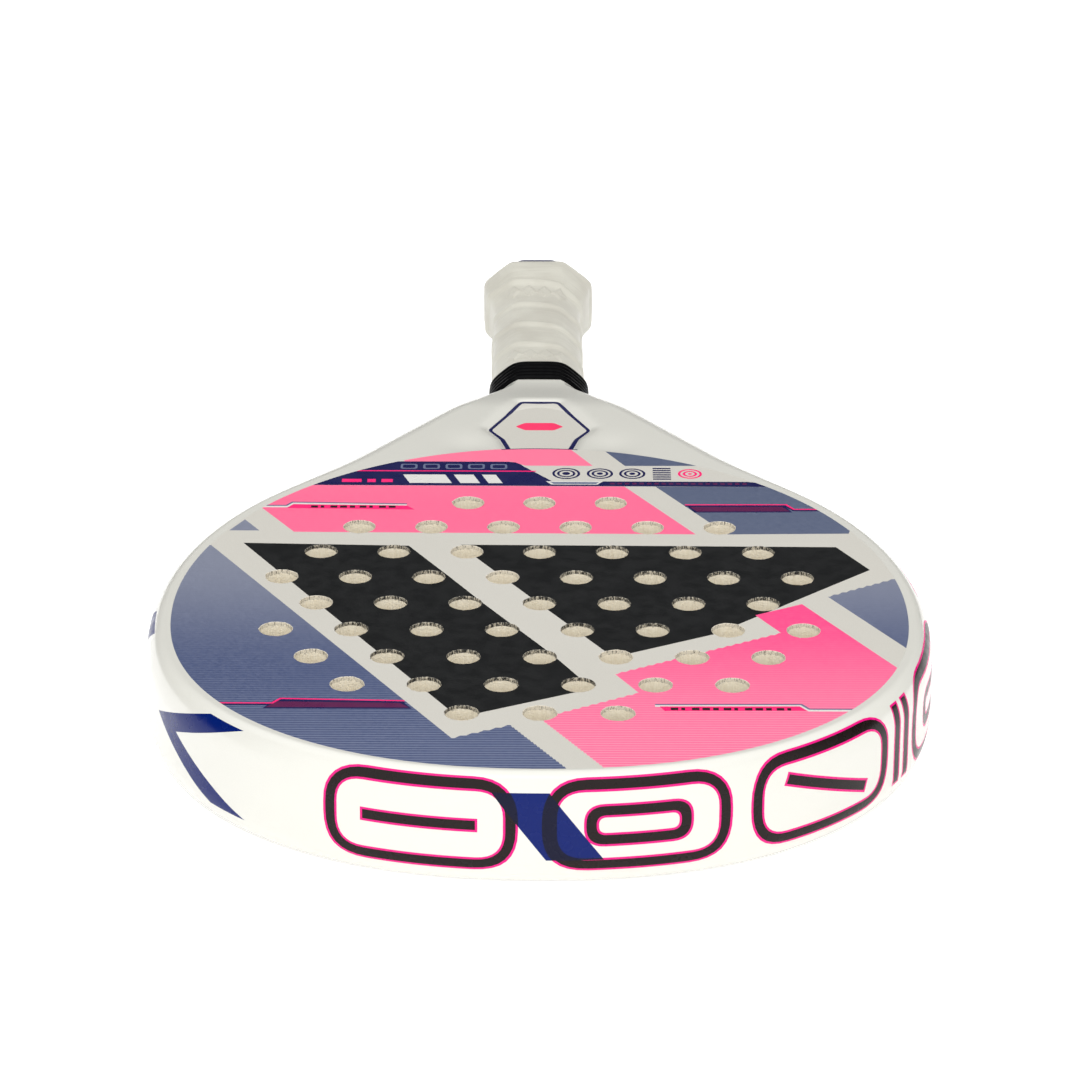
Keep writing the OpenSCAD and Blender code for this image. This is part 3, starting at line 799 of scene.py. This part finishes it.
def face_art():
    """The generic print as (material, outline), later shapes over earlier ones."""
    shapes = [
        ("pink_far", art((-48, 121), (-70, 150), (2.2, 150), (19, 117.5), (-5, 117.5), (-10, 121))),
        ("navy", art((-120, 121), (-11, 121), (-8.6, 120.4), (-7, 119), (-5.4, 116.5), (4.5, 103.5),
                     (74, 103.5), (90, 99), (-120, 99.6))),
        ("blue_far", art((23.5, 131), (13.5, 150), (70, 150), (70, 118), (30.5, 117.5))),
        ("pink_far", art((-120, 99.6), (30, 99), (54, 57.5), (-85, 58.5), (-97, 79), (-98, 100))),
        ("blue_far", art((41, 99), (90, 99), (112, 80), (107, 58.5), (65, 57.5))),
        ("blue", art((-102.5, 69), (-97, 59.5), (-107.5, 59.5))),
        ("black", art((-102, 49), (-45, 47), (-31, 22), (-19, 0), (4, -40), (14, -60),
                      (13, -68), (-26, -87.5))),
        ("black", art((-27, 48), (102, 47), (112.5, 28), (58, -24), (30, -39), (24, -42),
                      (2, -4), (-21, 36))),
        ("pink", art((88, 0), (72, -9), (80, -23), *steps((80, -23), (24.5, -55)), (24.5, -55), (32, -69),
                     *steps((32, -69), (0, -88)), (0, -88), *steps((0, -88), (20, -123)), (22, -135),
                     (110, -110), (135, -60), (117, -50))),
        ("blue", art((-113, 47), (-28, -102.5), *steps((-28, -102.5), (-9.5, -93)), (-9.5, -93),
                     *steps((-9.5, -93), (8.5, -124)), (8.5, -140), (-135, -140), (-135, 47))),
        ("blue", art((135, 27), (120, 20.5), *steps((120, 20.5), (97, 6)), (97, 6),
                     (121, -35), (135, -60))),
    ]
    # stepped accent lines with a bar under each
    for line, fill, pts, body, dash in (
            ("magenta", "wine", [(-104, -77.4), (-86, -77.4), (-83.5, -74), (-43.5, -75.4)],
             [(-84.5, -76.2), (-45, -77), (-42, -80.4), (-88, -80.4)], None),
            ("magenta", "wine", [(51, 83), (86.5, 83.4), (89, 79.4), (100, 79.4)],
             [(52.5, 81.2), (85, 81.6), (87.5, 77.6), (55, 77.2)], None),
            ("pale_blue", "magenta", [(-98, 81.3), (-88.6, 81.3), (-86.6, 84.2), (-46.5, 83)],
             [(-86, 82.4), (-46.5, 81.6), (-43.6, 78), (-88.5, 79)], (-80, -52, 80.4)),
            ("pale_blue", "magenta", [(37, -77.6), (84, -77.2), (86.5, -80.6), (104, -80.6)],
             [(38.5, -79), (83.5, -78.6), (85.5, -81.8), (40, -82.4)], (42, 82, -80.8))):
        under = ribbon([(x, y - 1.1) for x, y in pts], 0.6)
        shapes.append(("navy" if fill == "wine" else "white", art(*under)))
        if fill == "wine":
            shapes.append(("navy", art(*grow_box(body, 0.9))))
        shapes.append((fill, art(*body)))
        shapes.append((line, art(*ribbon(pts, 0.42))))
        if dash:
            x0, x1, y = dash
            for k, x in enumerate(np.arange(x0, x1, 3.4)):
                w = (2.4, 1.2, 2.4, 2.4, 1.8)[k % 5]
                shapes.append(("black", art(*rect(x, y - 0.9, x + w, y + 0.9))))
    # banner: generic bars and dots
    shapes.append(("magenta", art((-75, 112.0), (-1.5, 112.0), (-1.0, 112.9), (-73, 112.9))))
    for x in (-49.5, -41.5, -33.5, -25.5, -17.5):
        shapes.append(("pale_blue", art(*round_corners(rect(x, 114.3, x + 6, 118.8), 1.2))))
        shapes.append(("navy", art(*round_corners(rect(x + 0.8, 115.1, x + 5.2, 118), 0.8))))
    for x, w in ((-46, 15), (-28, 7), (-18, 5)):
        shapes.append(("white", art((x, 101.6), (x + w, 101.6), (x + w - 2.5, 109.2), (x - 2.5, 109.2))))
    for x, w in ((-70, 7), (-61, 3), (-56, 4)):
        shapes.append(("magenta", art(*rect(x, 102.2, x + w, 105))))
    shapes.append(("white", art((4.2, 100.6), (20.5, 100.6), (22.5, 103.5), (2.2, 103.5))))
    shapes.append(("pale_blue", art((5, 101.1), (19.9, 101.1), (21.1, 102.8), (3.8, 102.8))))
    for x in np.arange(25, 73, 2.6):
        shapes.append(("wine", art(*rect(x, 100.9, x + 1.6, 102.3))))
    # badges: plain rings, discs and a striped square
    for x, r, ink in ((9.5, 5.0, "navy"), (21.5, 4.7, "navy"), (33.0, 4.7, "navy"), (53.5, 4.3, "magenta")):
        for cut, tone in ((0, ink), (0.9, "base"), (1.7, ink), (2.6, "base"), (3.6, ink)):
            shapes.append((tone, art(*circle((x, 110.5), r - cut, 28))))
    for k in range(6):
        y = 105.2 + 1.9 * k
        shapes.append(("navy", art(*rect(40.3, y, 46.7, y + 1.1))))
    # thin line where the heart meets the face
    t = np.radians(np.linspace(83.6, 96.4, 15))
    arc = [((FACE_A - k) * np.cos(a), WIDE_Y + (FACE_FAR_L - k) * np.sin(a))
           for k, ts in ((-1.0, t), (0.55, t[::-1])) for a in ts]
    shapes.append(("navy", arc))
    return shapes


def circle(c, r, n):
    t = np.linspace(0, 2 * np.pi, n, endpoint=False)
    return [(c[0] + r * math.cos(a), c[1] + r * math.sin(a)) for a in t]


def ribbon(pts, half):
    """Outline of a line of even width through pts."""
    p = np.array(pts, float)
    d = np.diff(p, axis=0)
    d /= np.linalg.norm(d, axis=1)[:, None]
    n = np.stack([-d[:, 1], d[:, 0]], 1)
    m = np.concatenate([n[:1], n[:-1] + n[1:], n[-1:]])
    m /= (m * np.concatenate([n[:1], n])).sum(1)[:, None]
    return list(map(tuple, p + m * half)) + list(map(tuple, (p - m * half)[::-1]))


def grow_box(pts, by):
    c = np.mean(pts, axis=0)
    return [tuple(np.array(p) + np.sign(np.array(p) - c) * by) for p in pts]


# ---- face sheets and core ----
def hole_centres():
    out = []
    for row, count in enumerate(ROW_COUNTS):
        y = ROWS_Y + (row - len(ROW_COUNTS) // 2) * PITCH_Y
        out += [((k - (count - 1) / 2) * PITCH_X, y) for k in range(count)]
    return np.array(out)


HOLES = hole_centres()


def hole_loop(k, radius, ragged, n=52):
    """Outline of one hole; ragged adds the small chips of the drilled edge."""
    t = np.linspace(0, 2 * np.pi, n, endpoint=False)
    r = radius + ragged * 0.10 * (hash01(np.arange(n), k + 0.3) - 0.5)
    chips = hash01(np.arange(n) // 2, k + 7.7)
    r = r + ragged * np.where(chips > 0.86, 0.28 * hash01(np.arange(n), k + 3.1), 0)
    return np.stack([HOLES[k, 0] + r * np.cos(t), HOLES[k, 1] + r * np.sin(t)], 1)


def sheet(name, inset, z_out, z_in, mats, shapes, ragged, chamfer, wall_of, mirror=1.0):
    """A plate with the air holes. z_out is its shown side; wall_of gives each hole's wall material."""
    outline = egg(inset)
    loops = [outline] + [hole_loop(k, HOLE_R + chamfer, ragged) for k in range(len(HOLES))]
    shapes = [(m, np.array(p) * [mirror, 1.0]) for m, p in shapes]
    art_loops = [np.array(p) for _, p in shapes]
    v, f, c = triangulate(loops + art_loops)
    keep = inside(outline, c)
    for loop in loops[1:]:
        near = keep & (np.abs(c - loop.mean(0)).max(1) < HOLE_R + 1.5)
        keep[near] &= ~inside(loop, c[near])
    f, c = f[keep], c[keep]
    index = np.zeros(len(f), int)
    for m, p in shapes:
        index[inside(p, c)] = mats.index(m)
    v, f = compact(v, f)
    edges = border(f)
    out = border_out(v, edges)
    up = 1 if z_out > z_in else -1
    mid = v[edges].mean(1)
    dist = np.linalg.norm(mid[:, None] - HOLES[None], axis=2)
    hole = np.where(dist.min(1) < HOLE_R + 1.0, dist.argmin(1), -1)
    at_hole = np.linalg.norm(v[:, None] - HOLES[None], axis=2).min(1) < HOLE_R + 1.0
    cham = np.where(at_hole, chamfer, 0.02)
    zs = [z_out, z_out - up * chamfer, z_in]
    rings = [v, v + out * cham[:, None], v + out * cham[:, None]]
    n = len(v)
    verts = [np.column_stack([p, np.full(n, z)]) for p, z in zip(rings, zs)]
    faces = [list(t if up > 0 else t[::-1]) for t in f]
    idx = list(index)
    for k in range(2):
        for (a, b), h in zip(edges, hole):
            q = [k * n + b, k * n + a, (k + 1) * n + a, (k + 1) * n + b]
            faces.append(q if up > 0 else q[::-1])
            idx.append(0 if h < 0 else mats.index(wall_of(h)))
    faces += [list(2 * n + (t[::-1] if up > 0 else t)) for t in f]
    idx += [0] * len(f)
    return make_object(name, np.concatenate(verts), faces, mats, idx)


SHAPES = face_art()
BLACKS = [p for m, p in SHAPES if m == "black" and len(p) > 5]


def in_black(h):
    return any(inside(p, HOLES[h:h + 1])[0] for p in BLACKS)


INKS = ["base", "pink", "pink_far", "blue", "blue_far", "black", "navy", "magenta", "wine", "pale_blue",
        "white", "edge_dark", "edge_pale"]
for side, (name, node, z0, z1) in {
        1: ("face_front", "front_skin", HEAD_T, HEAD_T - SKIN_T),
        -1: ("face_back", "back_skin", 0.0, SKIN_T)}.items():
    ob = sheet(name, 0.02, z0, z1, INKS, SHAPES, 1.0, 0.14,
               lambda h: "edge_dark" if in_black(h) else "edge_pale", side)
    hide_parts(node)

core = sheet("core_foam", 6.05, HEAD_T - SKIN_T, SKIN_T, ["foam"], [], 0.0, 0.0, lambda h: "foam")
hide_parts("foam_core")


# ---- heart panels ----
def build_heart(name, node, up):
    """Recessed panel: flat floor, a curved step and a short ramp up to the rim at the handle end."""
    z_floor = MID_Z + up * (PANEL_HI[2] - MID_Z)
    z_under = MID_Z + up * (PANEL_LO[2] - MID_Z)
    outline = heart(-0.06)
    face = egg(-0.5)

    def arc_y(x):
        return HEART_TOP_Y - 4.3 - 4.2 * (x / 9.0) ** 2
    xs = np.linspace(-16, 16, 33)
    low, high = np.stack([xs, arc_y(xs)], 1), np.stack([xs[::-1], arc_y(xs[::-1]) + 0.45], 1)
    step = np.concatenate([low, high])
    mark = round_corners([(-8.6, 0), (-5.2, 3.4), (5.2, 3.4), (8.6, 0), (5.2, -3.4), (-5.2, -3.4)], 0.8)
    mark = mark + [0.0, HEART_CORNER_Y + 3.6]
    foot = FACE_FAR_Y - 12.0
    half = [(HEART_TOP_W - 0.8, HEART_TOP_Y - 1.8), (HEART_W - 0.9, HEART_CORNER_Y - 0.2),
            (HEART_W - 5.6, HEART_CORNER_Y - 8.4), (HEART_FOOT_W - 1.5, FACE_FAR_Y - 1),
            (HEART_FOOT_W - 1.5, foot)]
    line = round_corners(half + [(-x, y) for x, y in reversed(half)], 1.2)
    gx, gy = np.meshgrid(np.arange(-18, 18.1, 1.2), np.arange(FACE_FAR_Y - 2, HEART_TOP_Y + 1, 1.2))
    grid = np.stack([gx.ravel(), gy.ravel()], 1)
    v, f, c = triangulate([densify(outline, 1.2), face, step, densify(mark, 1.2), densify(line, 1.2)],
                          grid[inside(heart(-0.8), grid)])
    keep = inside(outline, c) & ~inside(face, c)
    f, c = f[keep], c[keep]
    ink = inside(mark, c).astype(int) + 2 * ~inside(line, c)
    v, f = compact(v, f)
    past = v[:, 1] - arc_y(v[:, 0])
    rise = 0.10 * ease(past / 0.45) + 0.10 * np.clip(past - 0.4, 0, 3.4)
    edges = border(f)
    n = len(v)
    verts = np.concatenate([np.column_stack([v, z_floor + up * rise]),
                            np.column_stack([v, np.full(n, z_under)])])
    faces = [list(t if up > 0 else t[::-1]) for t in f]
    for a, b in edges:
        q = [b, a, n + a, n + b]
        faces.append(q if up > 0 else q[::-1])
    faces += [list(n + (t[::-1] if up > 0 else t)) for t in f]
    idx = list(ink) + [0] * (len(faces) - len(f))
    ob = make_object(name, verts, faces, ["base", "coral", "navy"], idx)
    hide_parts(node)


build_heart("heart_front", "heart_panel_front", 1)
build_heart("heart_back", "heart_panel_back", -1)


# ---- handle ----
def octagon_r(phi, w, t, power=26.0):
    """Distance from the axis to a softened octagon of half width w and half thickness t."""
    cw, ct = 2 * w * CORNER_SHARE, 2 * t * CORNER_SHARE
    total = 0.0
    c, s = np.abs(np.cos(phi)), np.abs(np.sin(phi))
    slant = np.hypot(cw, ct)
    nx, nz = ct / slant, cw / slant
    reach = nx * w + nz * (t - ct)
    for a in (c / w, s / t, (nx * c + nz * s) / reach):
        total = total + np.maximum(a, 1e-9) ** power
    return total ** (-1 / power)


def ring_at(phi, r, y, shift=0.0):
    """Points round the handle's axis, y along it, moved sideways by shift."""
    return np.stack([r * np.cos(phi) + shift, np.full_like(phi, y), MID_Z + r * np.sin(phi)], -1)


def handle_half(y):
    f = ease((y - (BUTT_Y - BUTT_L - FLARE_L)) / FLARE_L)
    return (NECK_W + f * (BUTT_W - NECK_W)) / 2, (NECK_T + f * (BUTT_T - NECK_T)) / 2


def loft(name, rings, mat, smooth):
    """Skin of one material over rings of equal size."""
    m, n = rings.shape[:2]
    verts = rings.reshape(-1, 3)
    i, j = np.meshgrid(np.arange(m - 1), np.arange(n), indexing="ij")
    j2 = (j + 1) % n
    f = np.stack([i * n + j, i * n + j2, (i + 1) * n + j2, (i + 1) * n + j], -1).reshape(-1, 4)
    return make_object(name, verts, f.tolist(), [mat], smooth=smooth)


LAP = 20.5
LAP_Y = BUTT_Y - 121.6


def lap_height(phi, y):
    """Spiral overlaps of the tape: each turn swells towards its edge, then drops to the turn below."""
    turn = (y - LAP_Y) / LAP - (phi - np.pi / 2) / (2 * np.pi)
    turn = turn + 0.018 * np.sin(3 * phi + 1.0) + 0.012 * np.sin(5 * phi + 0.05 * y)
    f = turn % 1.0
    swell = 0.2 * ease(f / 0.6) + 0.85 * ease((f - 0.72) / 0.2)
    drop = ease((f - 0.945) / 0.055)
    second = 0.12 * np.exp(-((f - 0.60) / 0.02) ** 2)
    return (swell + second) * (1 - drop)


def emboss(x, y, top):
    """Two rows of small raised lozenges on the top flat."""
    h = np.zeros_like(x)
    for yc, x0 in ((BUTT_Y - 92.5, 0.0), (BUTT_Y - 28.5, -0.2)):
        for k in range(4):
            cx, cy = x0 + (k - 1.5) * 5.9, yc - 0.12 * (k - 1.5) * 5.9
            d = np.abs(x - cx) / 2.8 + np.abs(y - cy) / 4.8
            h = np.maximum(h, 0.5 * ease((1.0 - d) / 0.2))
    return h * top


def build_grip():
    phi = np.linspace(0, 2 * np.pi, 240, endpoint=False)
    y = np.arange(NECK_Y + 5.1, CAP_HI[1] - 3.1, 0.44)
    P, Y = np.meshgrid(phi, y)
    w, t = handle_half(Y)
    full = (w - NECK_W / 2) / (BUTT_W / 2 - NECK_W / 2)
    slim = 1.05 - 0.4 * full
    r = octagon_r(P, w - slim, t - slim, 17.0 + 18.0 * full)
    under = ease((Y - (NECK_Y + COLLAR_L - 1.5)) / 3.0)
    end = 1 - ease((Y - (BUTT_Y - 5.5)) / 2.2)
    r = r + lap_height(P, Y) * (0.15 + 0.85 * under) * (0.35 + 0.65 * end)
    x = r * np.cos(P)
    r = r + emboss(x, Y, np.sin(P) > 0.5)
    r = r - 0.3 * ease((Y - (BUTT_Y - 4.2)) / 1.1) - 0.2 * (1 - under)
    lean = -0.3 - 0.5 * ease((Y - NECK_Y - 8) / 60.0)
    outer = np.stack([r * np.cos(P) + lean, Y, MID_Z + r * np.sin(P)], -1)
    inner_r = octagon_r(phi, BUTT_W / 2 - 1.7, BUTT_T / 2 - 1.7)
    neck_r = octagon_r(phi, NECK_W / 2 - 1.6, NECK_T / 2 - 1.6)
    start, end_ring = ring_at(phi, neck_r, y[0]), ring_at(phi, inner_r, y[-1] + 0.2)
    rings = np.concatenate([start[None], outer, end_ring[None]])[::-1]
    ob = loft("grip_wrap", rings, "tape", 60.0)
    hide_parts("grip_tape")


def build_collar():
    phi = np.linspace(0, 2 * np.pi, 160, endpoint=False)
    rows = []
    half_w, half_h = COLLAR_HI[0] - 0.2, (COLLAR_HI[2] - COLLAR_LO[2]) / 2 - 0.1
    for v in np.linspace(0, 1, 91):
        y = COLLAR_LO[1] + v * COLLAR_L
        rib = np.abs(np.sin(np.pi * v * 5)) ** 0.55
        lip = math.sqrt(max(0.0, 1 - (2 * v - 1) ** 16))
        inset = 0.75 - 0.38 * rib * lip - 0.37 * lip
        rows.append((y, inset))
    rings = []
    for y, inset in [(rows[0][0] + 0.3, 1.2)] + rows + [(rows[-1][0] - 0.3, 1.2)]:
        r = octagon_r(phi, half_w - inset, half_h - inset, 16.0)
        wave = 0.10 * np.sin(phi * 2 + 0.4)
        ring = ring_at(phi, r, y, -0.1)
        ring[:, 1] += wave * 0.4
        rings.append(ring)
    ob = loft("collar_ring", np.array(rings)[::-1], "rubber", 50.0)
    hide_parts("grip_collar")


def build_cap():
    """End cap: soft edge, dished end with a raised ring, and the cord hole."""
    phi = np.linspace(0, 2 * np.pi, 128, endpoint=False)
    w, t = CAP_HI[0], (CAP_HI[2] - CAP_LO[2]) / 2
    full = octagon_r(phi, w - 0.75, t - 0.75, 30.0)
    full = full - 1.3 * ease((np.minimum(np.abs(np.cos(phi)) * t, np.abs(np.sin(phi)) * w) - 5.5) / 4.0)
    edge = [(-3.0, 2.4), (-3.0, 0.0), (-1.0, 0.0), (-0.45, 0.15), (-0.12, 0.5),
            (0.0, 1.0), (0.0, 3.0), (-0.25, 3.5), (-0.9, 4.2), (-1.0, 5.0)]
    boss = [(-1.0, 7.0), (-0.75, 6.6), (-0.25, 6.2), (-0.1, 5.8), (-0.1, 3.7),
            (-0.35, CORD_R + 0.2), (-0.8, CORD_R), (-3.0, CORD_R), (-3.1, 7.5), (-3.0, 12.0)]
    rings = [ring_at(phi, full - inset, BUTT_Y + dy, -CAP_LEAN if inset < 3 else 0.0) for dy, inset in edge]
    rings += [ring_at(phi, r, BUTT_Y + dy) for dy, r in boss]
    ob = loft("end_cap", np.array(rings)[::-1], "cap", 40.0)
    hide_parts("butt_cap")


def build_base():
    """Thin cushion grip under the tape."""
    phi = np.linspace(0, 2 * np.pi, 96, endpoint=False)
    ys = np.linspace(NECK_Y + 5.2, BUTT_Y - 3.2, 60)
    rings = []
    for inset, order in ((1.78, ys), (2.55, ys[::-1])):
        for y in order:
            w, t = handle_half(y)
            r = octagon_r(phi, w - inset, t - inset, 18.0)
            rings.append(ring_at(phi, r, y))
    rings.append(rings[0])
    ob = loft("base_cushion", np.array(rings)[::-1], "dark_foam", 50.0)
    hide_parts("base_grip")


build_grip()
build_base()
build_collar()
build_cap()

# ---- CAD nodes that stay ----
KEPT = {"throat_bridge": "laminate", "heart_core": "foam_plain", "stem_spacer": "laminate",
        "stem_plugs": "dark_foam", "pallet_front": "pallet", "pallet_back": "pallet",
        "finishing_tape": "vinyl", "cap_staples": "wire"}
for node, material in KEPT.items():
    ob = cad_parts[node]
    ob.data.materials.clear()
    ob.data.materials.append(M[material])

# ---- floor, lights and camera ----


def build_floor():
    m = Mat("floor_paper", 0.9, Specular_IOR_Level=0.1)
    m.color(m.mix(m.ramp(m.noise(180.0, 3.0), 0.3, 0.7), rgb(250, 250, 250), rgb(246, 246, 246)))
    m.b.inputs["Emission Color"].default_value = (1, 1, 1, 1)
    m.b.inputs["Emission Strength"].default_value = 0.35
    clear = m.node("ShaderNodeBsdfTransparent")
    back = m.node("ShaderNodeNewGeometry").outputs["Backfacing"]
    mix = m.node("ShaderNodeMixShader")
    m.link(back, mix.inputs["Fac"])
    m.link(m.b.outputs[0], mix.inputs[1])
    m.link(clear.outputs[0], mix.inputs[2])
    m.link(mix.outputs[0], m.t.nodes["Material Output"].inputs["Surface"])
    me = bpy.data.meshes.new("floor")
    half, z = 6, -0.0002
    corners = [(-half, -half, z), (half, -half, z), (half, half, z), (-half, half, z)]
    me.from_pydata(corners, [], [(0, 1, 2, 3)])
    me.materials.append(m.m)
    ob = bpy.data.objects.new("floor", me)
    bpy.context.scene.collection.objects.link(ob)


def area_light(name, place, aim, size, power):
    data = bpy.data.lights.new(name, "AREA")
    data.shape = "RECTANGLE"
    data.size, data.size_y = size
    data.energy = power
    ob = bpy.data.objects.new(name, data)
    ob.location = place
    ob.rotation_euler = (Vector(aim) - Vector(place)).to_track_quat("-Z", "Y").to_euler()
    bpy.context.scene.collection.objects.link(ob)


def build_world(front, above, dark):
    """Soft white tent, bright on the tip side and overhead, open and dark low down behind the handle."""
    world = bpy.data.worlds.new("studio")
    bpy.context.scene.world = world
    world.use_nodes = True
    tree = world.node_tree
    bg = tree.nodes["Background"]
    bg.inputs["Color"].default_value = (1.0, 1.0, 1.0, 1.0)
    split = tree.nodes.new("ShaderNodeSeparateXYZ")
    tree.links.new(tree.nodes.new("ShaderNodeTexCoord").outputs["Generated"], split.inputs[0])
    parts = []
    for axis, lo, hi, gain in ((1, 0.15, -0.6, front - dark), (2, 0.55, 0.9, above - dark)):
        n = tree.nodes.new("ShaderNodeMapRange")
        n.interpolation_type = "SMOOTHSTEP"
        tree.links.new(split.outputs[axis], n.inputs["Value"])
        for key, value in (("From Min", lo), ("From Max", hi), ("To Min", 0.0), ("To Max", gain)):
            n.inputs[key].default_value = value
        parts.append(n.outputs["Result"])
    top = tree.nodes.new("ShaderNodeMath")
    top.operation = "MAXIMUM"
    add = tree.nodes.new("ShaderNodeMath")
    add.operation = "ADD"
    tree.links.new(parts[0], top.inputs[0])
    tree.links.new(parts[1], top.inputs[1])
    tree.links.new(top.outputs[0], add.inputs[0])
    add.inputs[1].default_value = dark
    tree.links.new(add.outputs[0], bg.inputs["Strength"])


FRAME_PX, FOCAL_PX, SENSOR_W = 1080.0, 5000.0, 36.0


def build_camera():
    """Long lens, from the tip side and above, at the measured distance and tilt."""
    rx, ry, rz = 0.418321, 0.002257, -0.003499
    look = Matrix.Rotation(rz, 3, "Z") @ Matrix.Rotation(ry, 3, "Y") @ Matrix.Rotation(rx, 3, "X")
    axes = Matrix(((1, 0, 0), (0, 0, 1), (0, -1, 0)))
    data = bpy.data.cameras.new("camera")
    data.sensor_width = SENSOR_W
    data.lens = FOCAL_PX / FRAME_PX * SENSOR_W
    data.clip_start, data.clip_end = 0.05, 50.0
    ob = bpy.data.objects.new("camera", data)
    rot = (look @ axes).transposed()
    place = Vector((-3.687, -1499.73 + ROWS_Y, 689.55 + HEAD_T)) * MM
    ob.matrix_world = Matrix.Translation(place) @ rot.to_4x4()
    bpy.context.scene.collection.objects.link(ob)
    bpy.context.scene.camera = ob


build_floor()
build_world(1.43, 1.7, 0.025)
area_light("key", (0.0, -0.9, 1.7), (0, -0.1, 0.0), (1.6, 0.5), 4.0)
build_camera()
bpy.context.scene.view_settings.view_transform = "Standard"
bpy.context.scene.view_settings.look = "None"
